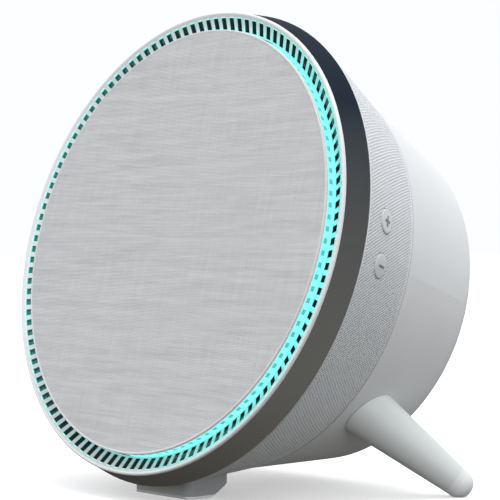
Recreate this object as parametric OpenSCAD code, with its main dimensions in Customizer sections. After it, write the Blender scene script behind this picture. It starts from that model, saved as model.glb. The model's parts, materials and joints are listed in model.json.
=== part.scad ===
// Round tilted smart speaker: fabric front, slotted light ring, tapered body on two legs and a front foot.
// Depths run backwards from the fabric front, along the body's own axis.

/* [Overall] */
// Radius of the fabric front
face_r = 110; // [92:1:132]
// Depth of the body, fabric front to back wall
body_depth = 137; // [114:1:165]
// Backward lean of the front, in degrees
lean = 15; // [11:1:18]
// Height of the body's lowest edge over the floor
floor_gap = 6.6; // [5.5:0.1:9]

/* [Slotted ring] */
// Width of the ring, fabric edge to lip
ring_w = 10; // [9:0.5:12]
// Inward slope of the ring, in degrees
ring_slope = 29; // [22:1:33]
// Depth of the lip behind the fabric front
lip_drop = 1; // [0.5:0.1:2]
// Rounding of the lip
lip_round = 1; // [0.6:0.1:1.2]
// Thickness of the slotted plate
ring_t = 2.6; // [2:0.1:3.2]
// Number of slots
slots = 120; // [90:1:132]
// Width of one slot
slot_w = 3.4; // [2.6:0.1:3.6]
// Plain rim outside the slots
rim_w = 3.1; // [3.1:0.1:5]
// Hoop that joins the inner ends of the fins
hoop_w = 0.8; // [0.6:0.1:1.2]
// Wall of the skirt behind the rim
skirt_t = 1.8; // [1.6:0.1:3]

/* [Shells] */
// Depth of the dark band's rear edge
band_depth = 15.5; // [14:0.5:18]
// Outward flare of the dark band
band_flare = 3; // [2:0.5:4]
// Depth of the seam between the side shell and the rear shell
seam_depth = 66; // [55:1:74]
// Taper of the side shell, on the radius
side_taper = 17.5; // [12:0.5:20]
// Taper of the rear shell, on the radius
rear_taper = 15.5; // [10:0.5:20]
// Rounding of the rear edge
rear_round = 13; // [8:1:18]
// Wall of the shells
wall = 2.6; // [2.2:0.1:3.4]
// Thickness of the perforated sleeve, taken out of the side shell's wall
sleeve_t = 1; // [0.8:0.1:1.2]
// Width of the shadow gaps between outer pieces
seam_gap = 0.5; // [0.3:0.1:0.8]

/* [Grille and light] */
// Thickness of the stretched fabric
fabric_t = 1; // [0.6:0.1:1.4]
// Thickness of the perforated plate behind it
plate_t = 2.4; // [1.8:0.1:3]
// Pitch of the perforation
hole_pitch = 13.5; // [12:0.5:18]
// Radius of one perforation
hole_r = 4.4; // [3:0.1:5]
// Radial thickness of the light guide
guide_t = 2; // [1.5:0.1:2.6]
// Number of light-emitting diodes
leds = 60; // [30:1:72]
// Thickness of the circuit boards
board_t = 1.6; // [1:0.1:2]
// Width of the ring-shaped light board
led_board_w = 10; // [8:0.5:12]

/* [Drivers] */
// Depth of the baffle's front face
baffle_depth = 19; // [18:0.5:22]
// Thickness of the baffle
baffle_t = 5; // [4:0.5:7]
// Radius of the tweeter's flange
tweeter_r = 24; // [20:1:28]
// Gap between the two drivers
driver_gap = 8; // [5:1:12]
// Radius of the woofer's magnet
magnet_r = 34; // [28:1:38]
// Thickness of the woofer's magnet
magnet_t = 16; // [12:1:20]
// Depth of the woofer's basket
basket_depth = 32; // [28:1:36]
// Radius of the voice coil's former
coil_r = 12.8; // [11:0.1:16]
// Cone excursion each way
cone_travel = 4; // [2:0.5:5]

/* [Buttons] */
// Radius of a button
button_r = 6; // [5:0.1:7.2]
// Gap around a button
button_gap = 0.35; // [0.25:0.05:0.5]
// Button travel
button_travel = 0.8; // [0.4:0.1:1.2]
// Depth of the buttons along the body
button_depth = 35; // [32:1:44]
// Clock angle of the pair's middle, from straight down towards +X
button_clock = 93.5; // [80:0.5:110]
// Distance between the two buttons
button_pitch = 21.8; // [18:0.1:26]

/* [Legs and foot] */
// Depth of the leg roots along the body
leg_depth = 92; // [82:1:97]
// Clock angle of a leg root, from straight down
leg_clock = 47.5; // [40:0.5:60]
// Outward splay, root to tip
leg_out = 28.9; // [18:0.1:38]
// Backward splay, root to tip
leg_aft = 33.1; // [22:0.1:42]
// Radius of a leg at its root
leg_root_r = 13.2; // [11:0.1:15.8]
// Radius of a leg at its tip
leg_tip_r = 7.2; // [6:0.1:8.4]
// Depth of the flat worn on a tip, where it stands
tip_flat = 0.5; // [0.3:0.1:0.8]
// Width of the front foot
foot_w = 44; // [36:1:50]
// Length of the front foot
foot_l = 28; // [26:1:34]
// Distance of the foot's front face ahead of the fabric's middle
foot_ahead = 5; // [2:1:9]
// Thickness of the front foot's pad
pad_t = 1.6; // [1.2:0.1:2.2]

/* [Hidden] */
$fn = 96;

fit = 0.2;    // gap between fixed pieces that nest
thread = 0.1; // gap around a screw's shank
cut = 1;      // overshoot of a cut

// Ring and lip
lip_r = face_r + ring_w;
lip_centre_r = lip_r - lip_round;
lip_centre = lip_drop + lip_round;
lip_back = lip_centre + 0.6;
skirt_out = lip_r - 1.2;
skirt_in = skirt_out - skirt_t;
hoop_in = face_r + fit;
slot_in = hoop_in + hoop_w;
slot_out = lip_r - rim_w;

// Outer skin
band_r = lip_r + band_flare;
seam_r = band_r - side_taper;
back_r = seam_r - rear_taper;
corner_depth = body_depth - rear_round;
side_slope = atan(side_taper / (seam_depth - band_depth));
rear_slope = atan(rear_taper / (corner_depth - seam_depth));
corner_r = back_r - rear_round / cos(rear_slope);
centre_h = floor_gap + band_r * cos(lean) + band_depth * sin(lean);
front_y = lip_centre * cos(lean) - lip_centre_r * sin(lean) - lip_round;
back_y = corner_depth * cos(lean) + corner_r * sin(lean) + rear_round;
y_shift = -(front_y + back_y) / 2;

// Grille and light
guide_r = face_r - fit;
plate_r = guide_r - guide_t - fit;
chip_size = 3;
chip_h = 0.9;
board_back = baffle_depth - 1.4;
chip_depth = board_back - board_t;
guide_back = chip_depth - chip_h - fit;
led_out = guide_r + 0.6;
led_in = led_out - led_board_w;
ridge_in = led_in + 1.5;
ridge_out = ridge_in + 4;
post_r = 2;
post_ring = led_in - post_r - 0.2;

// Baffle and the flanges it meets
baffle_r = skirt_in;
baffle_back = baffle_depth + baffle_t;
gasket_t = 0.8;
flange_t = 4;
flange_in = skirt_in - 9;
flange_front = baffle_back + gasket_t;
joint_depth = seam_depth - 3;
joint_in = seam_r - wall - 11;
joint_t = 3.2;

// Drivers
free_r = led_in - 4;
woofer_r = free_r - tweeter_r - driver_gap / 2;
woofer_y = woofer_r - free_r;
tweeter_y = free_r - tweeter_r;
rim_t = 2.5;
rim_depth = baffle_depth - rim_t;
basket_r = woofer_r - 8;
roll_r = 4.5;
roll_t = 0.8;
lip_ring_r = basket_r - 2.5;
cone_r = lip_ring_r - 2 * roll_r - fit;
cone_t = 1.2;
cone_back = rim_depth + 22;
basket_back = baffle_depth + basket_depth;
basket_foot_r = magnet_r + 2;
window_w = 18;
top_plate_depth = basket_back + 3;
top_plate_back = top_plate_depth + 5;
magnet_back = top_plate_back + magnet_t;
pole_back = magnet_back + 5;
former_t = 0.5;
winding_t = 0.8;
coil_gap = 0.6;
cap_r = coil_r + 5;
cap_h = 6;
spider_depth = basket_back - 7;
dome_r = 13;
dome_ball_r = dome_r * sqrt(1.25);
tweeter_hole_r = tweeter_r - 6;
tweeter_back = baffle_depth + 16;

// Screws
screw_r = 1.5;
head_r = 2.6;
head_h = 1.8;
screw_l = 8;
baffle_screw_ring = flange_in + 5.2;
driver_screw_ring = woofer_r - 4.2;
tweeter_screw_ring = tweeter_r - 3;
joint_screw_ring = joint_in + 4.6;

// Electronics
main_w = 96;
main_h = 66;
main_y = 20;
main_depth = body_depth - wall - 22;
main_post_x = main_w / 2 - 5;
main_post_y = main_h / 2 - 5;
main_post_r = 4;
chip_t = 1.6;
sink_w = 40;
sink_l = 24;
sink_y = main_y + 14;
sink_h = 12;
sink_fins = 6;
sink_base = 2;
sink_fin_t = 1.5;

// Power inlet in its cup
cup_r = 15;
cup_deep = 11;
cup_wall = 2.2;
cup_y = -44;
jack_r = 3.2;
jack_pin_r = 1;
jack_deep = 9.5;
jack_body_r = 5;
jack_l = 14;
jack_flange_r = 7;
jack_flange_t = 1.4;

// Buttons, measured inwards from the skin
button_step = asin(button_pitch / 2 / skin_r(button_depth));
cap_top = 0.5;
mark_h = 0.35;
mark_l = 5.4;
mark_w = 1.1;
collar_top = wall + 0.4;
collar_t = 1;
collar_w = 1.6;
stem_end = collar_top + collar_t + 1.4;
plunger_top = stem_end + button_travel + 0.1;
switch_top = plunger_top + 0.6;
switch_back = switch_top + 3;
switch_w = 6;
plunger_r = 1.7;
switch_board_front = 5;
switch_board_rear = 16;
switch_board_w = 14;
switch_post_x = 12;
switch_post_y = 4.4;
pocket_r = max(button_r + collar_w, switch_board_w / 2) + 2 * fit;
pocket_floor = switch_back + board_t + fit;

// Legs
tip_split = 3.5;
tip_swell = 0.15;
bolt_r = 2.5;
bolt_head_r = 4.6;
bolt_head_h = 3.4;
bolt_grip = 9;
bolt_reach = 14;
boss_r = 7.5;

// Front foot
foot_rear_h = 7.8;
foot_bevel = 13.3;
foot_toe = 1.6;
foot_top = floor_gap + 12;
foot_corner = 5;
foot_screw_x = 8;
foot_screw_y = 12;
foot_seat = 1.8;

// Radius of the outer skin at a depth behind the dark band
function skin_r(d) = d <= seam_depth
    ? band_r - (d - band_depth) * tan(side_slope)
    : seam_r - (d - seam_depth) * tan(rear_slope);
function skin_slope(d) = d <= seam_depth ? side_slope : rear_slope;
// A point of the body's own frame, in the floor's frame
function on_floor(p) = [
    p[0],
    p[1] * sin(lean) - p[2] * cos(lean) + y_shift,
    p[1] * cos(lean) + p[2] * sin(lean) + centre_h];
// Height of the ring's front surface at a radius, in the body's frame
function ring_z(r) = -lip_centre + lip_round * cos(ring_slope)
    - (lip_centre_r - lip_round * sin(ring_slope) - r) * tan(ring_slope);

leg_wall_r = skin_r(leg_depth);
leg_root = on_floor([leg_wall_r * sin(leg_clock), -leg_wall_r * cos(leg_clock), -leg_depth]);
leg_tip = [leg_root[0] + leg_out, leg_root[1] + leg_aft, leg_tip_r - tip_flat];
leg_line = leg_tip - leg_root;
leg_len = norm(leg_line);
leg_cone = asin((leg_root_r - leg_tip_r) / leg_len);
function leg_r(z) = (leg_tip_r - (z - leg_len) * sin(leg_cone)) / cos(leg_cone);

// Places children drawn in the body's frame, where the front faces +Z and the top is +Y
module in_body() translate([0, y_shift, centre_h]) rotate([90 - lean, 0, 0]) children();

// Places children on the outer skin: their +Z is the outward normal, their +X runs backwards
module on_skin(clock, d) in_body() rotate([0, 0, clock - 90]) translate([skin_r(d), 0, -d])
    rotate([0, 90 + skin_slope(d), 0]) children();

// Places children on the right leg's axis: 0 at the skin, +Z towards the tip
module on_leg() translate(leg_root)
    rotate([0, acos(leg_line[2] / leg_len), atan2(leg_line[1], leg_line[0])]) children();

// Discs, tubes and cones along the body's axis, between two depths
module disc(r, d0, d1) translate([0, 0, -d1]) cylinder(r = r, h = d1 - d0);
module tube(r_out, r_in, d0, d1) difference() {
    disc(r_out, d0, d1);
    disc(r_in, d0 - cut, d1 + cut);
}
module taper(r0, r1, d0, d1) translate([0, 0, -d1]) cylinder(r1 = r1, r2 = r0, h = d1 - d0);
module around(n, r, start = 0) for (i = [0 : n - 1]) rotate([0, 0, start + i * 360 / n])
    translate([r, 0, 0]) children();

// Solid inside the sleeve's skin, drawn in by inset
module side_solid(inset, d0, d1) {
    step = inset / cos(side_slope);
    taper(skin_r(d0) - step, skin_r(d1) - step, d0, d1);
}

// Solid inside the rear shell's skin, drawn in by inset
module rear_solid(inset, d0) {
    step = inset / cos(rear_slope);
    corner = rear_round - inset;
    rotate_extrude() union() {
        polygon([
            [0, -d0],
            [seam_r - (d0 - seam_depth) * tan(rear_slope) - step, -d0],
            [corner_r + corner * cos(rear_slope), -corner_depth - corner * sin(rear_slope)],
            [corner_r, -corner_depth],
            [corner_r, inset - body_depth],
            [0, inset - body_depth]]);
        translate([corner_r, -corner_depth]) circle(r = corner);
    }
}

// The whole body behind the dark band, grown by a gap
module envelope(gap) in_body() {
    side_solid(-gap, band_depth, seam_depth);
    rear_solid(-gap, seam_depth);
}

// Screw whose head's underside is at the origin and whose shank runs towards -Z
module screw(r = screw_r, l = screw_l, hr = head_r, hh = head_h) {
    cylinder(r = hr, h = hh);
    translate([0, 0, -l]) cylinder(r = r, h = l);
}
module screw_hole(r = screw_r, l = screw_l) translate([0, 0, -l - thread])
    cylinder(r = r + thread, h = l + cut);

module main_posts() for (x = [-main_post_x, main_post_x], y = [-main_post_y, main_post_y])
    translate([x, main_y + y, 0]) children();
module driver_screw_places(d) {
    translate([0, woofer_y, -d]) around(6, driver_screw_ring, 30) children();
    translate([0, tweeter_y, -d]) around(4, tweeter_screw_ring, 45) children();
}
module each_button() for (side = [-1, 1])
    on_skin(button_clock + side * button_step, button_depth) children();
module both_legs() {
    children();
    mirror([1, 0, 0]) children();
}
module foot_screw_places() for (x = [-foot_screw_x, foot_screw_x]) {
    y = foot_screw_y;
    d = (y + band_r * sin(lean)) / cos(lean);
    translate([x, y + y_shift, centre_h - skin_r(d) * cos(lean) - d * sin(lean) + foot_seat]) children();
}

// Front of the body

module grille_fabric() color([0.78, 0.78, 0.79]) in_body() disc(face_r, 0, fabric_t);

module grille_plate() color([0.25, 0.26, 0.28]) in_body() {
    rings = floor((plate_r - 2 * hole_r) / hole_pitch);
    difference() {
        disc(plate_r, fabric_t, fabric_t + plate_t);
        for (k = [1 : rings]) around(6 * k, k * hole_pitch)
            disc(hole_r, 0, fabric_t + plate_t + cut);
    }
    around(6, post_ring, 30 / rings) disc(post_r, fabric_t + plate_t / 2, baffle_depth);
}

module light_guide() color([0.55, 1, 0.98]) in_body()
    tube(guide_r, guide_r - guide_t, fabric_t, guide_back);

module led_board() color([0.12, 0.3, 0.22]) in_body() difference() {
    tube(led_out, led_in, chip_depth, board_back);
    around(8, baffle_screw_ring, 22.5) disc(head_r + fit, chip_depth - cut, board_back + cut);
}

module led_chips() color([0.95, 0.95, 0.85]) in_body() around(leds, guide_r - guide_t / 2)
    translate([-chip_size / 2, -chip_size / 2, -chip_depth]) cube([chip_size, chip_size, chip_h]);

module slotted_ring() color([0.82, 0.83, 0.84]) in_body() difference() {
    rotate_extrude() polygon(concat(
        [[hoop_in, ring_z(hoop_in)]],
        [for (i = [0 : 12]) let (a = (90 + ring_slope) * (1 - i / 12))
            [lip_centre_r + lip_round * cos(a), -lip_centre + lip_round * sin(a)]],
        [[lip_r, -lip_back],
        [skirt_out, -lip_back],
        [skirt_out, -baffle_depth],
        [skirt_in, -baffle_depth],
        [skirt_in, ring_z(skirt_in) - ring_t],
        [hoop_in, ring_z(hoop_in) - ring_t]]));
    around(slots, slot_in) translate([0, -slot_w / 2, ring_z(slot_in) - ring_t - cut])
        cube([slot_out - slot_in, slot_w, ring_t + ring_w + cut]);
}

module trim_band() color([0.29, 0.32, 0.34]) in_body() rotate_extrude() polygon([
    [skirt_out + fit, -lip_back - fit],
    [lip_r, -lip_back - fit],
    [band_r, -band_depth],
    [skirt_out + fit, -band_depth]]);

// Body shells

// Part of the side wall between two insets from the skin
module side_wall(inset, depth) difference() {
    side_solid(inset, band_depth + seam_gap, seam_depth - seam_gap / 2);
    side_solid(depth, band_depth, seam_depth + cut);
}
module button_holes() each_button() translate([0, 0, -collar_top - cut])
    cylinder(r = button_r + button_gap, h = collar_top + 3 * cut);

// Flange that the baffle is screwed to, with a pocket for each button
module side_flange() difference() {
    in_body() difference() {
        side_solid(wall / 2, flange_front, flange_front + flange_t);
        disc(flange_in, flange_front - cut, flange_front + flange_t + cut);
    }
    each_button() translate([-pocket_r, -pocket_r, -pocket_floor])
        cube([2 * pocket_r, 2 * pocket_r, pocket_floor - collar_top + fit]);
}

module side_sleeve() color([0.74, 0.76, 0.77]) difference() {
    in_body() side_wall(0, sleeve_t);
    button_holes();
    foot_screw_places() screw_hole();
}

module side_shell() color([0.8, 0.81, 0.82]) difference() {
    union() {
        side_flange();
        in_body() {
            side_wall(sleeve_t + thread, wall);
            difference() {
                side_solid(wall / 2, joint_depth - joint_t, joint_depth);
                disc(joint_in, joint_depth - joint_t - cut, joint_depth + cut);
            }
        }
        each_button() for (y = [-switch_post_y, switch_post_y])
            translate([switch_post_x, y, -switch_back]) cylinder(r = post_r, h = switch_back - wall / 2);
    }
    button_holes();
    in_body() {
        disc(skirt_out + fit, band_depth, baffle_depth + fit);
        translate([0, 0, -baffle_depth]) around(8, baffle_screw_ring, 22.5) screw_hole(l = screw_l + cut);
        translate([0, 0, joint_t - joint_depth]) around(6, joint_screw_ring, 30) screw_hole();
    }
    foot_screw_places() {
        screw_hole();
        cylinder(r = head_r + fit, h = 3 * head_h);
    }
}

module rear_shell() color([0.86, 0.87, 0.87]) difference() {
    union() {
        in_body() {
            difference() {
                rear_solid(0, seam_depth + seam_gap / 2);
                rear_solid(wall, seam_depth - cut);
            }
            tube(seam_r - wall / cos(side_slope) - fit, joint_in,
                joint_depth, seam_depth + joint_t);
            main_posts() disc(main_post_r, main_depth + board_t, body_depth - wall / 2);
            translate([0, cup_y, 0])
                disc(cup_r + cup_wall, body_depth - cup_deep - cup_wall, body_depth - wall / 2);
        }
        both_legs() intersection() {
            on_leg() translate([0, 0, -bolt_grip]) cylinder(r = boss_r, h = bolt_grip + boss_r);
            in_body() rear_solid(wall / 2, seam_depth);
        }
    }
    in_body() {
        translate([0, cup_y, 0]) disc(cup_r, body_depth - cup_deep, body_depth + cut);
        translate([0, cup_y, 0])
            disc(jack_body_r + fit, body_depth - cup_deep - cup_wall - cut, body_depth);
        translate([0, 0, joint_t - joint_depth]) around(6, joint_screw_ring, 30) screw_hole();
        translate([0, 0, -main_depth]) main_posts() screw_hole();
    }
    both_legs() on_leg() translate([0, 0, -bolt_grip - cut])
        cylinder(r = bolt_r + thread, h = bolt_grip + boss_r);
}

module baffle() color([0.16, 0.16, 0.17]) in_body() difference() {
    union() {
        disc(baffle_r - fit, baffle_depth, baffle_back);
        tube(ridge_out, ridge_in, board_back, baffle_depth + cut);
    }
    translate([0, woofer_y, 0]) disc(basket_r, baffle_depth - cut, baffle_back + cut);
    translate([0, tweeter_y, 0]) disc(tweeter_hole_r, baffle_depth - cut, baffle_back + cut);
    translate([0, 0, -baffle_depth]) around(8, baffle_screw_ring, 22.5) screw_hole(l = screw_l + cut);
    driver_screw_places(rim_depth) screw_hole();
}

module baffle_gasket() color([0.08, 0.08, 0.08]) in_body()
    tube(baffle_screw_ring - screw_r - 1, flange_in, baffle_back, flange_front);

// Woofer

module on_woofer() in_body() translate([0, woofer_y, 0]) children();

module woofer_basket() color([0.2, 0.2, 0.22]) on_woofer() difference() {
    union() {
        tube(woofer_r, lip_ring_r, rim_depth, baffle_depth);
        difference() {
            taper(basket_r - fit, basket_foot_r, baffle_depth - rim_t / 2, top_plate_depth);
            taper(basket_r - 3, basket_foot_r - 3, baffle_depth - rim_t, basket_back);
        }
    }
    disc(coil_r + 4, basket_back - cut, top_plate_depth + cut);
    disc(lip_ring_r, rim_depth - cut, baffle_depth);
    around(6, basket_foot_r - 5) translate([0, -window_w / 2, -basket_back + 4])
        cube([basket_r, window_w, basket_depth - 10]);
    translate([0, 0, -rim_depth]) around(6, driver_screw_ring, 30) screw_hole();
}

module woofer_top_plate() color([0.6, 0.6, 0.62]) on_woofer()
    tube(magnet_r - 2, coil_r + winding_t + coil_gap, top_plate_depth, top_plate_back);

module woofer_magnet() color([0.15, 0.15, 0.15]) on_woofer()
    tube(magnet_r, coil_r + 5, top_plate_back, magnet_back);

module woofer_pole_plate() color([0.6, 0.6, 0.62]) on_woofer() difference() {
    union() {
        disc(magnet_r - 1, magnet_back, pole_back);
        disc(coil_r - former_t - coil_gap, top_plate_depth, magnet_back + cut);
    }
    disc(coil_r / 3, top_plate_depth - cut, pole_back + cut);
}

module woofer_cone() color([0.1, 0.1, 0.11]) on_woofer() rotate_extrude() polygon([
    [cone_r, -rim_depth],
    [cone_r, -rim_depth - cone_t],
    [coil_r, -cone_back - cone_t],
    [coil_r, -cone_back]]);

module woofer_dust_cap() color([0.14, 0.14, 0.15]) on_woofer() {
    base = cone_back - (cap_r - coil_r) * (cone_back - rim_depth) / (cone_r - coil_r) - fit;
    ball_r = (cap_r * cap_r + cap_h * cap_h) / (2 * cap_h);
    intersection() {
        translate([0, 0, -base + cap_h - ball_r]) difference() {
            sphere(r = ball_r);
            sphere(r = ball_r - cone_t);
        }
        disc(cap_r, base - cap_h - cut, base);
    }
}

module woofer_voice_coil() color([0.75, 0.42, 0.2]) on_woofer() {
    tube(coil_r, coil_r - former_t, cone_back + cone_t, top_plate_back + cone_travel);
    tube(coil_r + winding_t, coil_r - former_t / 2,
        top_plate_depth - cone_travel, top_plate_back + cone_travel);
}

module woofer_surround() color([0.06, 0.06, 0.06]) on_woofer() rotate_extrude() {
    translate([lip_ring_r - roll_r, -rim_depth]) difference() {
        circle(r = roll_r, $fn = 48);
        circle(r = roll_r - roll_t, $fn = 48);
        translate([-2 * roll_r, -4 * roll_r]) square(4 * roll_r);
    }
    translate([lip_ring_r - roll_t, -rim_depth]) square([4, roll_t]);
}

module woofer_spider() color([0.65, 0.5, 0.25]) on_woofer()
    tube(basket_foot_r, coil_r + fit, spider_depth, spider_depth + roll_t);

// Tweeter

module on_tweeter() in_body() translate([0, tweeter_y, 0]) children();

module tweeter_flange() color([0.12, 0.12, 0.13]) on_tweeter() difference() {
    tube(tweeter_r, dome_r + 1, rim_depth, baffle_depth);
    translate([0, 0, -rim_depth]) around(4, tweeter_screw_ring, 45) screw_hole();
}

module tweeter_dome() color([0.5, 0.5, 0.52]) on_tweeter() intersection() {
    translate([0, 0, -baffle_depth - dome_r / 2]) difference() {
        sphere(r = dome_ball_r);
        sphere(r = dome_ball_r - former_t);
    }
    disc(dome_r, rim_depth - dome_r, baffle_depth);
}

module tweeter_magnet() color([0.3, 0.3, 0.32]) on_tweeter()
    disc(tweeter_hole_r - 1, baffle_depth, tweeter_back);

// Electronics

module main_board() color([0.08, 0.28, 0.16]) in_body() difference() {
    translate([-main_w / 2, main_y - main_h / 2, -main_depth - board_t]) cube([main_w, main_h, board_t]);
    translate([0, 0, -main_depth]) main_posts() screw_hole();
}

module part_box(x, y, w, l, h) translate([x - w / 2, main_y + y - l / 2, -main_depth]) cube([w, l, h]);
module part_can(x, y, r, h) translate([x, main_y + y, -main_depth]) cylinder(r = r, h = h);

module board_parts() color([0.1, 0.1, 0.11]) in_body() {
    for (x = [-10, 10]) part_box(x, 14, 12, 12, chip_t);
    part_box(-8, -14, 14, 14, chip_t);
    for (i = [0 : 3]) part_can(-34 + 12 * i, -2.6, 4.2, 5);
    for (x = [-38, -28]) part_can(x, 16, 4, 8);
    part_box(20, -2, 12, 6, 6);
    part_box(32, 20, 10, 6, 6);
    part_box(12, -26, 14, 6, 6);
}

module wireless_module() color([0.75, 0.76, 0.78]) in_body() {
    part_box(30, -16, 20, 16, 0.8);
    part_box(29, -16, 15, 13, 3);
}

module heat_sink() color([0.45, 0.46, 0.48]) in_body()
    translate([-sink_w / 2, sink_y - sink_l / 2, chip_t - main_depth]) {
        cube([sink_w, sink_l, sink_base]);
        for (i = [0 : sink_fins - 1])
            translate([i * (sink_w - sink_fin_t) / (sink_fins - 1), 0, sink_base / 2])
                cube([sink_fin_t, sink_l, sink_h - sink_base / 2]);
    }

module power_inlet() color([0.06, 0.06, 0.07]) in_body() translate([0, cup_y, 0]) {
    front = body_depth - cup_deep;
    difference() {
        union() {
            disc(jack_flange_r, front, front + jack_flange_t);
            disc(jack_body_r, front - jack_l, front + jack_flange_t / 2);
        }
        disc(jack_r, front + jack_flange_t - jack_deep, front + jack_flange_t + cut);
        disc(jack_pin_r + thread, front - jack_deep, front);
    }
}

module inlet_pin() color([0.8, 0.68, 0.35]) in_body() translate([0, cup_y, 0])
    disc(jack_pin_r, body_depth - cup_deep - jack_deep, body_depth - cup_deep);

// Buttons

module button_body() {
    translate([0, 0, -collar_top - collar_t / 2])
        cylinder(r = button_r, h = collar_top + collar_t / 2 + cap_top / 2);
    translate([0, 0, cap_top / 2])
        cylinder(r1 = button_r, r2 = button_r - cap_top / 2, h = cap_top / 2);
    translate([0, 0, -collar_top - collar_t]) cylinder(r = button_r + collar_w, h = collar_t);
    translate([0, 0, -stem_end]) cylinder(r = post_r, h = stem_end - collar_top);
}
module mark_bar(l, w) translate([-l / 2, -w / 2, 0]) cube([l, w, cap_top + mark_h]);

module button_plus() color([0.72, 0.74, 0.75]) on_skin(button_clock + button_step, button_depth) {
    button_body();
    mark_bar(mark_l, mark_w);
    mark_bar(mark_w, mark_l);
}

module button_minus() color([0.72, 0.74, 0.75]) on_skin(button_clock - button_step, button_depth) {
    button_body();
    mark_bar(mark_l, mark_w);
}

module switch_boards() color([0.12, 0.3, 0.22]) each_button()
    translate([-switch_board_front, -switch_board_w / 2, -switch_back - board_t])
    cube([switch_board_front + switch_board_rear, switch_board_w, board_t]);

module tact_switches() color([0.12, 0.12, 0.13]) each_button() {
    translate([-switch_w / 2, -switch_w / 2, -switch_back])
        cube([switch_w, switch_w, switch_back - switch_top]);
    translate([0, 0, -switch_top - 0.5]) cylinder(r = plunger_r, h = switch_top - plunger_top + 0.5);
}

// Legs and foot

module leg_shape() {
    start = -2 * leg_root_r;
    translate([0, 0, start]) cylinder(r1 = leg_r(start), r2 = leg_r(leg_len), h = leg_len - start);
    translate([0, 0, leg_len]) sphere(r = leg_tip_r + tip_swell);
}

module leg_right() color([0.76, 0.78, 0.78]) difference() {
    on_leg() leg_shape();
    on_leg() translate([0, 0, leg_len - tip_split]) cylinder(r = leg_root_r, h = 2 * leg_root_r);
    on_leg() translate([0, 0, -leg_root_r])
        cylinder(r = bolt_r + thread, h = leg_root_r + bolt_reach + thread);
    envelope(fit);
}
module leg_left() mirror([1, 0, 0]) leg_right();

module leg_tip_right() color([0.7, 0.72, 0.73]) difference() {
    intersection() {
        on_leg() leg_shape();
        on_leg() translate([0, 0, leg_len - tip_split]) cylinder(r = leg_root_r, h = 2 * leg_root_r);
    }
    translate([leg_tip[0] - leg_root_r, leg_tip[1] - leg_root_r, -leg_root_r])
        cube([2 * leg_root_r, 2 * leg_root_r, leg_root_r]);
}
module leg_tip_left() mirror([1, 0, 0]) leg_tip_right();

module leg_bolts() color([0.55, 0.56, 0.58]) both_legs() on_leg() translate([0, 0, -bolt_grip])
    rotate([180, 0, 0]) screw(r = bolt_r, l = bolt_grip + bolt_reach, hr = bolt_head_r, hh = bolt_head_h);

// Block of the foot: its side outline, with the plan's corners rounded
module foot_block() intersection() {
    translate([-foot_w / 2, y_shift - foot_ahead, 0]) rotate([90, 0, 90]) linear_extrude(foot_w) polygon([
        [0, foot_top],
        [0, foot_toe],
        [foot_toe, 0],
        [foot_l - foot_bevel, 0],
        [foot_l, foot_rear_h],
        [foot_l, foot_top]]);
    translate([0, y_shift - foot_ahead, 0]) linear_extrude(foot_top) union() {
        for (x = [foot_corner - foot_w / 2, foot_w / 2 - foot_corner])
            for (y = [foot_corner, foot_l - foot_corner]) translate([x, y]) circle(r = foot_corner);
        translate([-foot_w / 2, foot_corner]) square([foot_w, foot_l - 2 * foot_corner]);
        translate([foot_corner - foot_w / 2, 0]) square([foot_w - 2 * foot_corner, foot_l]);
    }
}

module front_foot() color([0.45, 0.46, 0.47]) difference() {
    foot_block();
    translate([-foot_w, y_shift - 2 * foot_l, -cut]) cube([2 * foot_w, 4 * foot_l, pad_t + cut]);
    envelope(fit);
    foot_screw_places() screw_hole();
}

module front_foot_pad() color([0.8, 0.8, 0.8]) intersection() {
    foot_block();
    translate([-foot_w, y_shift - 2 * foot_l, 0]) cube([2 * foot_w, 4 * foot_l, pad_t]);
}

// Fasteners

module foot_screws() color([0.6, 0.6, 0.62]) foot_screw_places() screw(l = screw_l - head_h);

module baffle_screws() color([0.6, 0.6, 0.62]) in_body() translate([0, 0, -baffle_depth])
    around(8, baffle_screw_ring, 22.5) screw(l = screw_l + cut);

module driver_screws() color([0.6, 0.6, 0.62]) in_body() driver_screw_places(rim_depth)
    screw(l = screw_l - head_h);

module shell_screws() color([0.6, 0.6, 0.62]) in_body() translate([0, 0, joint_t - joint_depth])
    around(6, joint_screw_ring, 30) screw();

module board_screws() color([0.6, 0.6, 0.62]) in_body() translate([0, 0, -main_depth])
    main_posts() screw();

grille_fabric();
grille_plate();
light_guide();
led_board();
led_chips();
slotted_ring();
trim_band();
side_sleeve();
side_shell();
rear_shell();
baffle();
baffle_gasket();
woofer_basket();
woofer_magnet();
woofer_top_plate();
woofer_pole_plate();
woofer_cone();
woofer_dust_cap();
woofer_voice_coil();
woofer_surround();
woofer_spider();
tweeter_flange();
tweeter_dome();
tweeter_magnet();
main_board();
board_parts();
wireless_module();
heat_sink();
power_inlet();
inlet_pin();
button_plus();
button_minus();
switch_boards();
tact_switches();
leg_right();
leg_left();
leg_tip_right();
leg_tip_left();
leg_bolts();
front_foot();
front_foot_pad();
foot_screws();
baffle_screws();
driver_screws();
shell_screws();
board_screws();
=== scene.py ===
# %% [markdown]
# # A round, tilted smart speaker
# A cloth-covered front leans back inside a slotted ring that glows from within. Behind the ring come
# a dark band, a finely perforated sleeve and a smooth rear shell, on two splayed legs and a front foot.
# The solid model arrives as a frame that never moves. This script gives its parts their finishes, and
# replaces the few that need more than a solid can hold: the cloth, the sleeve and the buttons.

# %% Load the frame
import json
from math import asin, atan2, cos, degrees, hypot, pi, radians, sin, sqrt, tan

import bmesh
import bpy
from mathutils import Matrix, Vector


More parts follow.
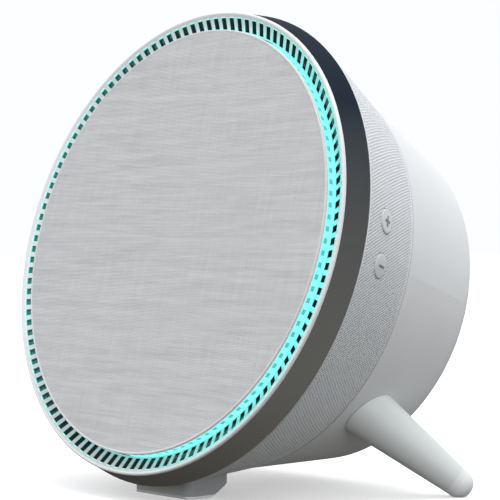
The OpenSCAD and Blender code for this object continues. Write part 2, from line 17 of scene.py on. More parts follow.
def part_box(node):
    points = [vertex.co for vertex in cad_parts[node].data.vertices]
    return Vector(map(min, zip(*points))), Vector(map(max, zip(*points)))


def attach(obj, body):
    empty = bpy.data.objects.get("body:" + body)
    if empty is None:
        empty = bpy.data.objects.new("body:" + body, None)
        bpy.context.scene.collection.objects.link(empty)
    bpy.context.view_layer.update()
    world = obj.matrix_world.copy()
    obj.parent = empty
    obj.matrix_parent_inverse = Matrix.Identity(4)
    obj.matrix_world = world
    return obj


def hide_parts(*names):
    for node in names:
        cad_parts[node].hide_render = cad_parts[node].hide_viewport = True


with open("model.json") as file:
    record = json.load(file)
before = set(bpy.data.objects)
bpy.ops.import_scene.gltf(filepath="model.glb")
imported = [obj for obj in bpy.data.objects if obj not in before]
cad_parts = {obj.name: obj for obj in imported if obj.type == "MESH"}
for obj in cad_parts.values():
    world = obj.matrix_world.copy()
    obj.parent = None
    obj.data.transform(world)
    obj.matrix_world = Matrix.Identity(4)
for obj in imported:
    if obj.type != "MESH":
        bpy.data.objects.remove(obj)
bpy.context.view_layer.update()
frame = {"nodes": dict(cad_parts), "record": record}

# %% [markdown]
# ## The body's own directions
# Everything round on this speaker turns about one axis, which leans back. Working out each shape in
# that axis's own frame keeps the sums short, and one matrix then carries it to the floor's frame.
# The axis is the direction in which the woofer's cone slides, and its start is the cloth's middle.

# %% The axis, the face's middle and the body's matrix
MM = 0.001
joints = {joint["name"]: joint for joint in frame["record"]["behaviour"]["joints"]}
front = Vector(joints["woofer_cone_slide"]["axis"]).normalized()
low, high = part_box("grille_fabric")
cloth_t = 1 * MM
face_r = (high[0] - low[0]) / 2
face = (Vector(low) + Vector(high)) / 2 + front * cloth_t / 2
right = Vector((1, 0, 0))
up = front.cross(right)
body = Matrix.Translation(face) @ Matrix((right, up, front)).transposed().to_4x4()
turn = atan2(up.z, up.y)
print("lean", round(90 - degrees(turn), 3), "face radius mm", round(face_r / MM, 2))
print("middle of the cloth", [round(c, 4) for c in face])


# %% [markdown]
# ## Camera and light
# A long lens stands level with the floor, three quarters to the front and on the buttons' side. Its
# place is counted from the middle of the cloth. The studio is a pale sweep under one broad soft light
# from above, a gentle one from the front and a small low one from the buttons' side, so the top of the
# shells burns almost to white and the underside stays readable.

# %% Camera
def direction(azimuth, elevation):
    a, e = radians(azimuth), radians(elevation)
    return Vector((sin(a) * cos(e), -cos(a) * cos(e), sin(e)))


AZIMUTH, ELEVATION = 47.7, 0.77
DISTANCE, ASIDE, LOWERED = 0.96398, 0.04136, 0.00603
FILM_W, LENS, NEAREST = 36, 138.24, 0.05
toward = direction(AZIMUTH, ELEVATION)
across = Vector((-toward.y, toward.x, 0)).normalized()
above = toward.cross(across)
camera_data = bpy.data.cameras.new("camera")
camera_data.sensor_width = FILM_W
camera_data.lens = LENS
camera_data.clip_start = NEAREST
camera = bpy.data.objects.new("camera", camera_data)
bpy.context.collection.objects.link(camera)
stand = face + toward * DISTANCE + across * ASIDE - above * LOWERED
camera.matrix_world = Matrix.Translation(stand) @ Matrix((across, above, toward)).transposed().to_4x4()
bpy.context.scene.camera = camera
print("camera", [round(c, 4) for c in stand])


# %% Lights and the sweep
def soft_light(name, place, size, power):
    """A round area light, so many metres across and so many watts, aimed at the speaker's middle."""
    data = bpy.data.lights.new(name, "AREA")
    data.shape, data.size, data.energy = "DISK", size, power
    lamp = bpy.data.objects.new(name, data)
    lamp.location = place
    lamp.rotation_euler = (middle - place).to_track_quat("-Z", "Y").to_euler()
    bpy.context.collection.objects.link(lamp)
    print(name, "at", [round(c, 2) for c in place])


def sky(stops):
    """A pale studio as ramp stops of colour, from straight down to straight up."""
    world = bpy.data.worlds.new("studio")
    bpy.context.scene.world = world
    world.use_nodes = True
    tree = world.node_tree
    place = tree.nodes.new("ShaderNodeTexCoord")
    height = tree.nodes.new("ShaderNodeSeparateXYZ")
    half = tree.nodes.new("ShaderNodeMath")
    half.operation = "MULTIPLY_ADD"
    half.inputs[1].default_value = half.inputs[2].default_value = 0.5
    ramp = tree.nodes.new("ShaderNodeValToRGB")
    for _ in stops[2:]:
        ramp.color_ramp.elements.new(1)
    for stop, (at, colour) in zip(ramp.color_ramp.elements, stops):
        stop.position, stop.color = at, (*colour, 1)
    tree.links.new(place.outputs["Generated"], height.inputs[0])
    tree.links.new(height.outputs["Z"], half.inputs[0])
    tree.links.new(half.outputs[0], ramp.inputs[0])
    tree.links.new(ramp.outputs[0], tree.nodes["Background"].inputs["Color"])


middle = Vector((0, 0, 0.13))
DARK_GROUND, DIM_GROUND = (0.07, 0.067, 0.06), (0.17, 0.163, 0.15)
PALE_HORIZON, PALE_TOP = (0.98, 0.99, 1.0), (0.97, 0.99, 1.02)
sky([(0.0, DARK_GROUND), (0.42, DIM_GROUND), (0.47, PALE_HORIZON), (1.0, PALE_TOP)])
soft_light("top_light", Vector((0.1, 0.15, 1.3)), 0.9, 7)
soft_light("front_light", middle + direction(-15, 20) * 1.6, 1.2, 3)
soft_light("low_light", middle + direction(75, -2) * 1.3, 0.5, 2.2)
bpy.context.scene.view_settings.view_transform = "Standard"


# %% [markdown]
# ## A small language for finishes
# Finishes are sums over places: waves for threads, noise for grain. `Value` wraps one socket, so that
# `1 - mask` or `height * 0.5` adds the Math nodes by itself. `Finish` holds one material, and its
# `node` makes any other node: settings first, then what goes into each socket.

# %% Values and finishes
COLOUR_A, COLOUR_B, COLOUR_OUT = 6, 7, 2
SLOTS = 120


class Value:
    def __init__(self, finish, socket):
        self.finish, self.socket = finish, socket

    def math(self, operation, *values):
        return self.finish.node("ShaderNodeMath", {"operation": operation}, dict(enumerate(values)))

    def __add__(self, other):
        return self.math("ADD", self, other)

    def __sub__(self, other):
        return self.math("SUBTRACT", self, other)

    def __rsub__(self, other):
        return self.math("SUBTRACT", other, self)

    def __mul__(self, other):
        return self.math("MULTIPLY", self, other)

    def __truediv__(self, other):
        return self.math("DIVIDE", self, other)

    def __gt__(self, other):
        return self.math("GREATER_THAN", self, other)

    def __lt__(self, other):
        return self.math("LESS_THAN", self, other)

    def __abs__(self):
        return self.math("ABSOLUTE", self)

    def sine(self):
        return self.math("SINE", self)

    def cosine(self):
        return self.math("COSINE", self)

    def root(self):
        return self.math("SQRT", self)

    def either(self, other):
        return self.math("MAXIMUM", self, other)

    def clamped(self):
        return self.math("MINIMUM", self.math("MAXIMUM", self, 0.0), 1.0)

    def ramp(self, start, full):
        """0 up to start, then evenly up to 1 at full and beyond it."""
        return ((self - start) / (full - start)).clamped()


class Finish:
    def __init__(self, name, colour, rough, **constants):
        self.material = bpy.data.materials.new(name)
        self.material.use_nodes = True
        self.material.diffuse_color = (*colour, 1)
        self.tree = self.material.node_tree
        self.shader = self.tree.nodes["Principled BSDF"]
        self.set("Base Color", (*colour, 1))
        self.set("Roughness", rough)
        for socket, value in constants.items():
            self.set(socket.replace("_", " "), value)
        self.colour = colour

    def set(self, socket, value):
        if isinstance(value, Value):
            self.tree.links.new(value.socket, self.shader.inputs[socket])
        else:
            self.shader.inputs[socket].default_value = value

    def node(self, kind, settings=None, sockets=None, output=0):
        made = self.tree.nodes.new(kind)
        for key, value in (settings or {}).items():
            setattr(made, key, value)
        for key, value in (sockets or {}).items():
            if isinstance(value, Value):
                self.tree.links.new(value.socket, made.inputs[key])
            else:
                made.inputs[key].default_value = value
        return Value(self, made.outputs[output])

    def place(self):
        return self.node("ShaderNodeTexCoord", {}, {}, "Object")

    def body_place(self):
        """Object coordinates in the body's own frame: x to the right, y to the top, z to the front."""
        return self.node("ShaderNodeMapping", {}, {
            "Vector": self.place(), "Location": body.inverted().translation, "Rotation": (-turn, 0, 0)})

    def split(self, vector):
        parts = self.node("ShaderNodeSeparateXYZ", {}, {0: vector})
        return [Value(self, parts.socket.node.outputs[i]) for i in range(3)]

    def polar(self):
        """Turn about the body's axis, in turns, distance from it, and depth behind the cloth's front."""
        x, y, z = self.split(self.body_place())
        return x.math("ARCTAN2", x, y) / (2 * pi), (x * x + y * y).root(), 0 - z

    def noise(self, place, scale, detail=2.0, rough=0.5, stretch=(1, 1, 1)):
        if stretch != (1, 1, 1):
            place = self.node("ShaderNodeMapping", {}, {"Vector": place, "Scale": stretch})
        return self.node("ShaderNodeTexNoise", {}, {
            "Vector": place, "Scale": scale, "Detail": detail, "Roughness": rough})

    def in_slot(self, spin):
        """A wave that is above 0 in the ring's slots and below 0 on its fins."""
        return (spin * (SLOTS * 2 * pi)).cosine()

    def shade(self, mask, light, dark=None):
        """Base colour that goes from the finish's own, or dark, to light as mask goes from 0 to 1."""
        self.set("Base Color", self.mix(mask, dark or self.colour, light))

    def mix(self, mask, a, b):
        sockets = {"Factor": mask}
        for place, colour in ((COLOUR_A, a), (COLOUR_B, b)):
            sockets[place] = colour if isinstance(colour, Value) else (*colour, 1)
        return self.node("ShaderNodeMix", {"data_type": "RGBA"}, sockets, COLOUR_OUT)

    def bump(self, height, depth, strength=1.0):
        self.set("Normal", self.node("ShaderNodeBump", {}, {
            "Height": height, "Distance": depth, "Strength": strength}))


print("body matrix inverse", [round(c, 3) for c in body.inverted().translation])


# %% [markdown]
# ## Moulded plastic
# Satin plastic is never quite flat: the mould is spark-eroded, so it has a grain of a few tenths of a
# millimetre, and handling leaves patches that are a little smoother. One function makes all of the
# speaker's plastics, and only their colours, gloss and grain differ. The dark band, the sleeve and the
# ring also carry painted shading, and the ring painted light too, because an even colour comes out flatter
# there than it should.

# %% Moulded plastics
PATCHES_A_METRE = 38


def tinted(colour, factor):
    return tuple(min(1, c * factor) for c in colour)


def moulded(name, colour, rough, grain=0.03, grain_size=2600, patches=0.06, **constants):
    f = Finish(name, colour, rough, **constants)
    place = f.place()
    fine = f.noise(place, grain_size, 2)
    broad = f.noise(place, PATCHES_A_METRE, 3)
    f.shade(broad, tinted(colour, 1 + patches / 2), tinted(colour, 1 - patches / 2))
    f.set("Roughness", broad * 0.12 + (rough - 0.06) + fine * 0.04)
    f.bump(fine, grain * MM)
    return f


SLEEVE_COLOUR = (0.77, 0.79, 0.81)
finishes = {
    "ring_plastic": moulded("ring_plastic", (0.78, 0.79, 0.8), 0.3, Coat_Weight=0.8, Coat_Roughness=0.12),
    "dark_band": moulded("dark_band", (0.088, 0.1, 0.112), 0.6, Specular_IOR_Level=0.02),
    "sleeve_plastic": moulded("sleeve_plastic", SLEEVE_COLOUR, 0.5),
    "shell_plastic": moulded("shell_plastic", (0.74, 0.755, 0.77), 0.42),
    "button_plastic": moulded("button_plastic", (0.64, 0.66, 0.68), 0.34,
                              Coat_Weight=0.4, Coat_Roughness=0.12),
    "leg_plastic": moulded("leg_plastic", (0.7, 0.73, 0.73), 0.42),
    "foot_plastic": moulded("foot_plastic", (0.3, 0.31, 0.32), 0.5),
    "black_plastic": moulded("black_plastic", (0.022, 0.022, 0.024), 0.5),
}
print("moulded", sorted(finishes))


# %% The ring's fins and slots
SLOT_TO_LIP = 3.1 * MM
SLOPE_START, RING_SLOPE = 0.3 * MM, 29
SKIN, LIP_W = 0.2 * MM, 1.5 * MM
FINS_TO_LIP, FINS_FADE = 1.2 * MM, 1.5 * MM
END_WALL, END_WALL_DEEP = 0.05 * MM, 0.8 * MM
SPILL, SPILL_DEEP = 0.35 * MM, 0.1 * MM
SHADED_SLOT, LIT_SLOT = (0.05, 0.058, 0.06), (0.2, 0.24, 0.235)
SHADED_FIN, GUIDE_LIT_FIN, SLOT_END_GLOW = (0.25, 0.28, 0.27), (0.3, 0.82, 0.79), (0.05, 0.62, 0.5)
ring_low, ring_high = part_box("slotted_ring")
lip_r = (ring_high[0] - ring_low[0]) / 2


def paint_ring_light_and_shade(f):
    """Paints shade on what lies behind the ring's sloping front and on its lower fins, painted aqua light
    on its fins on the buttons' side, and a painted glow on its slots' ends.
    """
    spin, radius, depth = f.polar()
    x, y, _ = f.split(f.body_place())
    moulded_colour = Value(f, f.shader.inputs["Base Color"].links[0].from_socket)
    on_fins = radius.ramp(lip_r - FINS_TO_LIP, lip_r - FINS_TO_LIP - FINS_FADE)
    under = y.ramp(-0.4 * lip_r, -1.067 * lip_r)
    button_side = x.ramp(0, 0.625 * lip_r)
    far_side = x.ramp(-0.45 * lip_r, -0.95 * lip_r)
    # Painted shade on the lower fins, and the guide's light painted aqua onto the fins on the buttons'
    # side.
    fins = f.mix(on_fins * under * 0.7, moulded_colour, SHADED_FIN)
    fins = f.mix(on_fins * button_side * 0.75, fins, GUIDE_LIT_FIN)
    below = depth - ((lip_r - radius) * tan(radians(RING_SLOPE)) + SLOPE_START)
    inside = (below > SKIN) * (radius < lip_r - LIP_W)
    # Painted shade inside the slots, painted lighter on the side away from the buttons.
    f.set("Base Color", f.mix(inside, fins, f.mix(far_side, SHADED_SLOT, LIT_SLOT)))

    # Painted glow: the slots' outer end walls and a thin spill in each slot shine teal, though the ring is
    # plain plastic.
    slot_out = lip_r - SLOT_TO_LIP
    beyond = radius > slot_out - END_WALL
    end_wall = beyond * (radius < slot_out + END_WALL) * (below < END_WALL_DEEP)
    spill = beyond * (radius < slot_out + SPILL) * (below < SPILL_DEEP) * (f.in_slot(spin) > 0.0)
    f.set("Emission Color", f.mix(end_wall.either(spill), (0, 0, 0), SLOT_END_GLOW))
    f.set("Emission Strength", 1.0)


paint_ring_light_and_shade(finishes["ring_plastic"])
print("lip radius mm", round(lip_r / MM, 2))


# %% Painted shading
def graded(f, low, high, at_axis):
    """Shades a piece from its underside to its top; at_axis is how far it has come level with the axis."""
    _, y, _ = f.split(f.body_place())
    cloud = f.noise(f.place(), PATCHES_A_METRE, 3) * 0.08 - 0.04
    f.set("Base Color", f.mix((y / lip_r * 0.85 + at_axis + cloud).clamped(), low, high))


graded(finishes["dark_band"], (0.195, 0.192, 0.177), (0.014, 0.022, 0.034), 0.5)
graded(finishes["sleeve_plastic"], (0.36, 0.37, 0.375), SLEEVE_COLOUR, 0.96)
print("graded dark_band and sleeve_plastic")


# %% [markdown]
# ## Light guide
# The guide is a frosted tube behind the slots. Diodes shine into its rear edge, so it glows, a little
# stronger near them. A small darker dash lies across its wall in line with each slot: a painted shadow
# of the fins' hoop. Its light falls on the fins, but too weakly to show beside the studio's, which is
# why the ring's own finish above has painted aqua light on its fins and a painted glow at its slots' ends.

# %% The glow
DASH_DEPTH, DASH_REACH, GUIDE_L = 3.1 * MM, 1.3 * MM, 16 * MM


def glowing():
    f = Finish("light_guide", (0.05, 0.2, 0.19), 0.35)
    spin, radius, depth = f.polar()
    # The dashes are a painted shadow of the fins' hoop on the glowing wall.
    across_dash = ((f.in_slot(spin) - 0.05) * 5).clamped()
    along_dash = ((1 - abs(depth - DASH_DEPTH) / DASH_REACH) * 4).clamped()
    dash = across_dash * along_dash
    near = (depth / GUIDE_L).clamped()
    lit = f.mix(near, (0.2, 0.9, 0.85), (0.24, 0.95, 0.9))
    f.set("Emission Color", f.mix(dash * 0.9, lit, (0.06, 0.3, 0.28)))
    f.set("Emission Strength", 1.25)
    return f


finishes["light_guide"] = glowing()
print("dashes", SLOTS, "each mm long", round(2 * DASH_REACH / MM, 2))


# %% [markdown]
# ## Cloth
# The grille cloth is a plain weave of fine yarn with slubs: short thick places in the weft, which read
# as pale and dark dashes across the front. The height is worked out thread by thread: at each crossing
# either the weft or the warp lies on top, and the sign of two sines says which.

# %% Woven finishes
def woven(name, colour, rough, pitch, slub=0.5, relief=0.1, sheen=0.2):
    f = Finish(name, colour, rough, Sheen_Weight=sheen, Sheen_Roughness=0.5)
    place = f.body_place()
    x, y, _ = f.split(place)
    drift = f.noise(place, 90, 2) * 0.35
    weft_wave = ((y / pitch + drift) * pi).sine()
    warp_wave = ((x / pitch + drift) * pi).sine()
    weft, warp = abs(weft_wave), abs(warp_wave)
    over = (weft_wave * warp_wave) > 0.0
    height = over * (weft * (warp * 0.4 + 0.6)) + (1 - over) * (warp * (weft * 0.4 + 0.6))
    short_slubs = f.noise(place, 1, 3, 0.65, (38, 620, 1))
    long_slubs = f.noise(place, 1, 4, 0.75, (13, 210, 1))
    slubs = short_slubs * 0.6 + long_slubs * 0.8 - 0.2
    threads = f.noise(place, 1, 2, 0.6, (900, 26, 1))
    # Thread crowns are painted lighter than the hollows between threads: painted shade in the weave.
    tone = ((slubs - 0.5) * 3.6 + (threads - 0.5) * 1.1) * slub + height * 0.3 + 0.35
    f.shade(tone.clamped(), tinted(colour, 1.12), tinted(colour, 0.84))
    f.set("Roughness", 1 - height * 0.15)
    f.bump(height + slubs * slub, relief * MM)
    return f


finishes["fabric"] = woven("fabric", (0.61, 0.615, 0.625), 0.95, 0.75 * MM, slub=0.6)
# The edge bead's pale cloth is a painted highlight along the cloth's rolled rim.
finishes["cloth_edge"] = woven("cloth_edge", (0.8, 0.785, 0.785), 0.8, 0.5 * MM, slub=0.1)
finishes["spider_cloth"] = woven("spider_cloth", (0.42, 0.28, 0.1), 0.85, 0.6 * MM)
finishes["dome_cloth"] = woven("dome_cloth", (0.13, 0.13, 0.14), 0.7, 0.3 * MM, relief=0.04)
print("woven", [n for n in finishes if "cloth" in n or n == "fabric"])


# %% [markdown]
# ## Metals, rubber, paper and boards
# Most of these sit out of sight behind the cloth, but a part in a library is taken apart, so each has
# its own finish: brushed zinc on screws, ground ferrite, powder-coated steel, pressed paper, wound
# wire, and the green lacquer of a circuit board with its copper tracks under it.

# %% Metals
def brushed(name, colour, rough, stretch=(1, 1, 14), metallic=1.0, grooves=0.02):
    f = Finish(name, colour, rough, Metallic=metallic)
    lines = f.noise(f.body_place(), 1, 3, 0.6, tuple(s * 420 for s in stretch))
    f.shade(lines, tinted(colour, 1.15), tinted(colour, 0.85))
    f.set("Roughness", lines * 0.25 + (rough - 0.12))
    f.bump(lines, grooves * MM)
    return f


finishes["steel"] = brushed("steel", (0.55, 0.56, 0.58), 0.32)
finishes["heat_sink"] = brushed("heat_sink", (0.2, 0.205, 0.215), 0.4, (14, 1, 14))
finishes["brass"] = brushed("brass", (0.72, 0.5, 0.18), 0.28, (1, 1, 6))
finishes["ferrite"] = brushed("ferrite", (0.035, 0.035, 0.04), 0.6, (3, 3, 3), 0.3, 0.04)
finishes["copper"] = brushed("copper", (0.5, 0.17, 0.05), 0.3, (1, 1, 24))
print("finishes with the metals", len(finishes))


# %% Speckled and coated surfaces
def speckled(name, colour, rough, size, depth, light=1.5, **constants):
    f = Finish(name, colour, rough, **constants)
    cells = f.node("ShaderNodeTexVoronoi", {"feature": "SMOOTH_F1"}, {"Vector": f.place(), "Scale": size})
    fibre = f.noise(f.place(), size * 0.4, 4, 0.7)
    f.shade((cells * 0.6 + fibre * 0.5).clamped(), tinted(colour, light), tinted(colour, 0.7))
    f.set("Roughness", fibre * 0.2 + (rough - 0.1))
    f.bump(cells + fibre, depth * MM)
    return f


finishes["black_metal"] = speckled("black_metal", (0.02, 0.02, 0.022), 0.45, 1600, 0.05)
finishes["black_rubber"] = speckled("black_rubber", (0.012, 0.012, 0.012), 0.75, 2400, 0.02)
finishes["tip_rubber"] = speckled("tip_rubber", (0.88, 0.9, 0.91), 0.65, 2600, 0.02, 1.05)
finishes["cone_paper"] = speckled("cone_paper", (0.016, 0.016, 0.018), 0.8, 900, 0.06, 1.9)
finishes["led"] = speckled("led", (0.8, 0.78, 0.6), 0.2, 1800, 0.01, 1.1, Transmission_Weight=0.2)
print("finishes with the coated ones", len(finishes))


# %% Circuit boards
def lacquered():
    f = Finish("circuit_board", (0.01, 0.085, 0.045), 0.3, Coat_Weight=0.4, Coat_Roughness=0.1)
    place = f.body_place()
    x, y, _ = f.split(place)
    bend = f.noise(place, 60, 0)
    tracks = abs(((x + y * 0.5 + bend * 0.012) * (pi / (1.6 * MM))).sine()) > 0.72
    zone = f.noise(place, 45, 0) > 0.52
    track = tracks * zone
    f.shade(track, (0.02, 0.16, 0.08))
    f.set("Roughness", track * 0.1 + 0.3)
    f.bump(track, 0.03 * MM)
    return f


finishes["circuit_board"] = lacquered()
print("finishes", len(finishes))

# %% [markdown]
# ## Dressing the solid parts
# Each solid part already names its material slot in the record, so one loop gives all of them their
# finish. A slot without a finish would stop here, before a plain grey part could slip through.

# %% Assign the finishes
slot_of = {part["node"]: part["material_slot"] for part in frame["record"]["subparts"]}
for name, node in frame["nodes"].items():
    for material_slot in node.material_slots:
        material_slot.material = finishes[slot_of[name]].material
    if not node.material_slots:
        node.data.materials.append(finishes[slot_of[name]].material)
print("dressed", len(slot_of), "nodes")
print("finishes without a node", sorted(set(finishes) - set(slot_of.values())))


# %% [markdown]
# ## Helpers for new pieces
# A piece is shaped in the body's frame, in metres, and `make_piece` carries it to its place inside
# its mesh, so the object itself stays at the origin. The cloth and the button caps both start as a
# disc of rings with a wall under it, and the sleeve's margins are drawn out in the same way as that wall.

# %% Make an object from a bmesh
def in_scene(bm, name):
    mesh = bpy.data.meshes.new(name)
    bm.to_mesh(mesh)
    bm.free()
    made = bpy.data.objects.new(name, mesh)
    bpy.context.collection.objects.link(made)
    return made


def make_piece(bm, name, slot, smooth, matrix=body, rides_on="housing", extra=None):
    """Makes a piece in one finish, and gives it a second finish where its faces ask for extra."""
    bmesh.ops.transform(bm, matrix=matrix, verts=bm.verts)
    piece = in_scene(bm, name)
    mesh = piece.data
    for finish in filter(None, (slot, extra)):
        mesh.materials.append(finishes[finish].material)
    mesh.shade_smooth()
    mesh.set_sharp_from_angle(angle=radians(smooth))
    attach(piece, rides_on)
    mesh.calc_loop_triangles()
    print(name, "triangles", len(mesh.loop_triangles))
    return piece


# %% Discs and walls
def open_edges(bm):
    return [e for e in bm.edges if e.is_boundary]


def draw_out(bm, edges, place):
    """Extrudes open edges, moves each new vertex to place(it), and gives the new open edges."""
    grown = bmesh.ops.extrude_edge_only(bm, edges=edges)["geom"]
    for v in (g for g in grown if isinstance(g, bmesh.types.BMVert)):
        v.co = place(v.co)
    return [g for g in grown if isinstance(g, bmesh.types.BMEdge) and g.is_boundary]


def ringed_disc(radius, segments, rings_mm):
    """A flat disc whose faces lie in rings, the first of rings_mm outermost."""
    bm = bmesh.new()
    bmesh.ops.create_circle(bm, cap_ends=True, segments=segments, radius=radius)
    disc = bm.faces[:]
    for ring in rings_mm:
        bmesh.ops.inset_region(bm, faces=disc, thickness=ring * MM, use_even_offset=True, use_boundary=True)
    return bm


def wall_down(bm, z):
    """Closes a disc with a straight wall down to z and a flat bottom."""
    draw_out(bm, open_edges(bm), lambda co: Vector((co.x, co.y, z)))
    bmesh.ops.holes_fill(bm, edges=open_edges(bm), sides=0)


# %% [markdown]
# ## The cloth front
# On the real speaker the cloth is drawn over the perforated plate and glued round its edge, so the
# front is flat and only its rim rolls over. A bevelled disc could pass, but rings of faces let the
# rim turn through a soft quarter circle: a circle is inset a few times, and the outer rings drop. A
# low bead runs round the edge, where the cloth is pressed into its glue; its paler, plainer cloth is a
# painted highlight along the rim.

# %% Cloth
ROLL, BEAD, BEAD_UP = 0.4 * MM, 1.1 * MM, 0.25 * MM


def cloth_front():
    bm = ringed_disc(face_r, 256, (0.1, 0.2, 0.3, 0.3, 0.3, 0.4, 0.8, 2, 6, 14, 26, 26))
    for v in bm.verts:
        way_in = face_r - hypot(v.co.x, v.co.y)
        inward = max(0, ROLL - way_in)
        v.co.z -= ROLL - sqrt(max(0, ROLL * ROLL - inward * inward))
        if way_in < BEAD:
            v.co.z += BEAD_UP * sin(pi * way_in / BEAD)
    # Faces on the bead take the paler cloth, a painted highlight.
    for f in bm.faces:
        f.material_index = int(face_r - f.calc_center_median().xy.length < BEAD)
    wall_down(bm, -cloth_t)
    bmesh.ops.recalc_face_normals(bm, faces=bm.faces)
    return make_piece(bm, "front_cloth", "fabric", 60, extra="cloth_edge")


cloth = cloth_front()
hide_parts("grille_fabric")


# %% [markdown]
# ## The perforated sleeve
# The side of the speaker is wrapped in a sleeve with some sixteen thousand small staggered pits. A bump
# texture could suggest them, but real pits keep their shadows from every side, so they are modelled.
# One column of hexagons is laid on the cone and spun round the axis. Its rows are staggered, so the
# hexagons close into a honeycomb. Plain margins, an inner wall and the two ends make it a closed body,
# and then every hexagon is inset and pushed in, and the floor of each pit is painted dark as the shade
# inside it. It is cut into a right and a left half, as moulded.

# %% The cone that the sleeve lies on
sleeve_low, sleeve_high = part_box("side_sleeve")
rear_low, rear_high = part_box("rear_shell")
sleeve_front, sleeve_rear, shell_front = 16 * MM, 65.75 * MM, 66.25 * MM
front_r = (sleeve_high[0] - sleeve_low[0]) / 2
rear_r = (rear_high[0] - rear_low[0]) / 2
slope = (front_r - rear_r) / (shell_front - sleeve_front)
sleeve_t = 0.9 * MM
COLUMNS = 436
ROW = 1.37 * MM
MARGIN = 1.3 * MM


def on_cone(turned, slant, inward=0.0):
    """A point of the body's frame on the sleeve's cone: an angle from the top, a way down the slant."""
    depth = sleeve_front + slant / hypot(1, slope)
    r = front_r - (depth - sleeve_front) * slope - inward * hypot(1, slope)
    return Vector((r * sin(turned), r * cos(turned), -depth))


slant_length = (sleeve_rear - sleeve_front) * hypot(1, slope)
rows = int((slant_length - 2 * MARGIN) / ROW)
print("cone slope degrees", round(degrees(atan2(slope, 1)), 2))
print("rows", rows, "pitch round the front mm", round(2 * pi * front_r / COLUMNS / MM, 2))


# %% Honeycomb body
MERGE = 0.05 * MM
OFF_CUT = 0.3


def honeycomb():
    """Hexagons all round the cone, turned by OFF_CUT of half a column, so no corner meets the cut."""
    bm = bmesh.new()
    half = pi / COLUMNS
    start = (slant_length - (rows - 1) * ROW) / 2
    for row in range(rows):
        for v in bmesh.ops.create_circle(bm, cap_ends=True, segments=6, radius=1)["verts"]:
            turned = (v.co.x / sin(pi / 3) + row % 2 + OFF_CUT) * half
            v.co = on_cone(turned, start + row * ROW + v.co.y * ROW * 2 / 3)
    bmesh.ops.spin(bm, geom=bm.verts[:] + bm.edges[:] + bm.faces[:], cent=(0, 0, 0), axis=(0, 0, 1),
                   dvec=(0, 0, 0), angle=2 * pi * (COLUMNS - 1) / COLUMNS, steps=COLUMNS - 1,
                   use_merge=False, use_duplicate=True)
    bmesh.ops.remove_doubles(bm, verts=bm.verts, dist=MERGE)
    bmesh.ops.recalc_face_normals(bm, faces=bm.faces)
    bm.faces.ensure_lookup_table()
    sample = bm.faces[0]
    if sample.normal.xy.dot(sample.calc_center_median().xy) < 0:
        bmesh.ops.reverse_faces(bm, faces=bm.faces[:])
    print("hexagons", len(bm.faces))
    return bm


def extend(bm, edges, slant, inward):
    """Draws a loop of edges out to a ring at one end of the cone, and gives the ring's edges."""
    return draw_out(bm, edges, lambda co: on_cone(atan2(co.x, co.y), slant, inward))


def close_sleeve(bm):
    middle_depth = -(sleeve_front + sleeve_rear) / 2
    inner = []
    for ahead, slant in ((True, 0.0), (False, slant_length)):
        loop = [e for e in open_edges(bm) if (e.verts[0].co.z > middle_depth) == ahead]
        loop = extend(bm, loop, slant, 0.0)
        inner += extend(bm, loop, slant, sleeve_t)
    bmesh.ops.bridge_loops(bm, edges=inner)
    bmesh.ops.recalc_face_normals(bm, faces=bm.faces)


# %% Pits and halves
ON_PLANE = 1e-7
PIT_RIM, PIT_DEEP = 0.34 * MM, 0.45 * MM


def press_pits(bm):
    cells = [f for f in bm.faces if len(f.verts) == 6]
    bmesh.ops.inset_individual(bm, faces=cells, thickness=PIT_RIM, depth=-PIT_DEEP, use_even_offset=True)
    # Each pit's floor takes the second finish: a dark painted shade.
    for f in cells:
        f.material_index = 1
    print("pits", len(cells))


def half_of(bm, side):
    half = bm.copy()
    bmesh.ops.bisect_plane(half, geom=half.verts[:] + half.edges[:] + half.faces[:], dist=ON_PLANE,
                           plane_co=(0, 0, 0), plane_no=(side, 0, 0), clear_inner=True)
    bmesh.ops.holes_fill(half, edges=open_edges(half), sides=0)
    return half


whole = honeycomb()
close_sleeve(whole)
press_pits(whole)
# The pits' dark floors are painted shade.
finishes["sleeve_pit"] = moulded("sleeve_pit", (0.13, 0.135, 0.145), 0.6)
halves = [make_piece(half_of(whole, side), name, "sleeve_plastic", 20, extra="sleeve_pit")
          for side, name in ((1, "perforated_sleeve_right"), (-1, "perforated_sleeve_left"))]
whole.free()
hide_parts("side_sleeve")


# %% [markdown]
# ## Room for the buttons
# The two volume buttons come out of the right half at a right angle to its cone, so the holes are
# drilled along that direction. One matrix serves both the drill and the button's cap, and a Boolean
# leaves a clean edge through the pits, where faces picked by hand would leave a ragged one.

# %% Where the buttons sit
BUTTON_DEPTH, BUTTON_CLOCK, BUTTON_PITCH = 35 * MM, 93.5, 21.8 * MM


def on_button(side):
    """Matrix of one button: z out of the sleeve, x backwards; side is 1 for the upper one."""
    r = front_r - (BUTTON_DEPTH - sleeve_front) * slope
    clock = radians(BUTTON_CLOCK) + side * asin(BUTTON_PITCH / 2 / r)
    tilt = atan2(slope, 1)
    spoke = Vector((sin(clock), -cos(clock), 0))
    out = spoke * cos(tilt) - Vector((0, 0, sin(tilt)))
    back = -spoke * sin(tilt) - Vector((0, 0, cos(tilt)))
    place = spoke * r - Vector((0, 0, BUTTON_DEPTH))
    return body @ Matrix.Translation(place) @ Matrix((back, out.cross(back), out)).transposed().to_4x4()


print("upper button at", [round(c, 4) for c in on_button(1).translation])


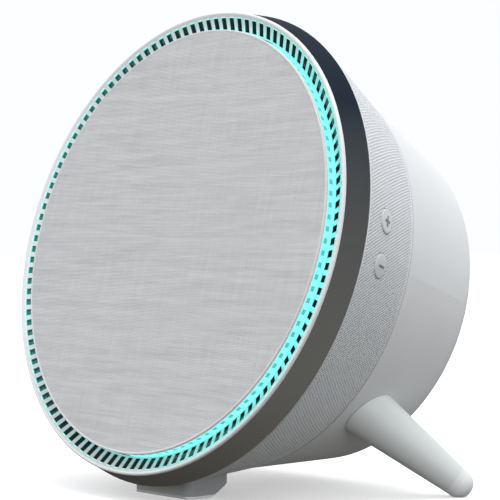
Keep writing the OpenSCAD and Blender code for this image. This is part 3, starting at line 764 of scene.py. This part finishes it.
# %% Holes for the buttons
def clear_buttons(sleeve):
    """Cuts one round hole through the sleeve for each button, along the way it is pressed."""
    bm = bmesh.new()
    for side in (-1, 1):
        bmesh.ops.create_cone(bm, cap_ends=True, segments=48, radius1=HOLE_R, radius2=HOLE_R,
                              depth=DRILL_L, matrix=on_button(side))
    drill = in_scene(bm, "button_drill")
    hole = sleeve.modifiers.new("button_holes", "BOOLEAN")
    hole.object, hole.operation, hole.solver = drill, "DIFFERENCE", "EXACT"
    cut = bpy.data.meshes.new_from_object(sleeve.evaluated_get(bpy.context.evaluated_depsgraph_get()))
    sleeve.modifiers.clear()
    sleeve.data = cut
    bpy.data.objects.remove(drill)
    print("faces after the holes", len(cut.polygons))


HOLE_R, DRILL_L = 6.35 * MM, 8 * MM
clear_buttons(halves[0])


# %% [markdown]
# ## Volume buttons
# The buttons are soft round caps of glossy plastic: a slightly crowned top that rolls over at its rim,
# with a plain bar or cross standing on it as its mark, coloured a darker grey as painted shade round the
# raised mark. The solid model's buttons have a flat top and a sharp chamfer, so these caps replace them
# and ride on the buttons' own bodies.

# %% Soft caps
CAP_R, CAP_TOP, CAP_ROLL, CAP_CROWN, CAP_DEEP = 6 * MM, 0.6 * MM, 0.7 * MM, 0.25 * MM, 4 * MM
MARK_L, MARK_W, MARK_UP, MARK_EDGE = 5.4 * MM, 1.3 * MM, 0.25 * MM, 0.2 * MM
# The marks' darker grey is painted shade.
finishes["button_mark"] = moulded("button_mark", (0.2, 0.205, 0.21), 0.35)


def crowned(r):
    """Height of a cap's top at a distance from its middle."""
    inward = max(0, CAP_ROLL - (CAP_R - r))
    rolled = CAP_TOP - CAP_ROLL + sqrt(max(0, CAP_ROLL ** 2 - inward ** 2))
    return rolled - CAP_CROWN * (r / CAP_R) ** 2


def add_bar(bm, length, width):
    bar = bmesh.ops.create_cube(bm, size=1)["verts"]
    bmesh.ops.scale(bm, verts=bar, vec=(length, width, 2 * MARK_UP))
    bmesh.ops.translate(bm, verts=bar, vec=(0, 0, CAP_TOP))
    edges = list({e for v in bar for e in v.link_edges})
    bmesh.ops.bevel(bm, geom=edges, offset=MARK_EDGE, segments=2, profile=0.5, affect="EDGES", material=-1)


def soft_cap(side, name, node, bars):
    bm = ringed_disc(CAP_R, 64, (0.08, 0.12, 0.15, 0.2, 0.25, 0.4, 0.8, 1.2, 1.2))
    for v in bm.verts:
        v.co.z = crowned(hypot(v.co.x, v.co.y))
    wall_down(bm, -CAP_DEEP)
    for length, width in bars:
        add_bar(bm, length, width)
    bmesh.ops.recalc_face_normals(bm, faces=bm.faces)
    # Faces standing above the cap's top are the marks, which get the painted shade.
    for f in bm.faces:
        f.material_index = int(f.calc_center_median().z > CAP_TOP + 0.02 * MM)
    cap = make_piece(bm, name, "button_plastic", 40, on_button(side), node, "button_mark")
    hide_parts(node)
    print(name, "replaces", node)


soft_cap(1, "upper_button_cap", "button_plus", [(MARK_L, MARK_W), (MARK_W, MARK_L)])
soft_cap(-1, "lower_button_cap", "button_minus", [(MARK_L, MARK_W)])


# %% [markdown]
# ## The floor
# The speaker stands on white paper. A plain diffuse sheet would go grey away from the lights, so it
# glows a little of its own, and it is hidden from the speaker's reflections and bounced light, so that
# glow doesn't fill in the shade under the body. It belongs to the stage, not to the part.

# %% Floor
HALF_SHEET, PAPER_GLOW = 6, 0.38


def paper_floor():
    bm = bmesh.new()
    bmesh.ops.create_grid(bm, x_segments=1, y_segments=1, size=HALF_SHEET)
    floor = in_scene(bm, "floor")
    floor.visible_diffuse = floor.visible_glossy = False
    paper = Finish("floor_paper", (0.93, 0.93, 0.93), 0.9)
    grain = paper.noise(paper.place(), 400, 2)
    paper.shade(grain, (0.94, 0.94, 0.94), (0.92, 0.92, 0.92))
    paper.set("Emission Color", (1, 1, 1, 1))
    paper.set("Emission Strength", PAPER_GLOW)
    floor.data.materials.append(paper.material)
    print("floor metres across", 2 * HALF_SHEET)


paper_floor()
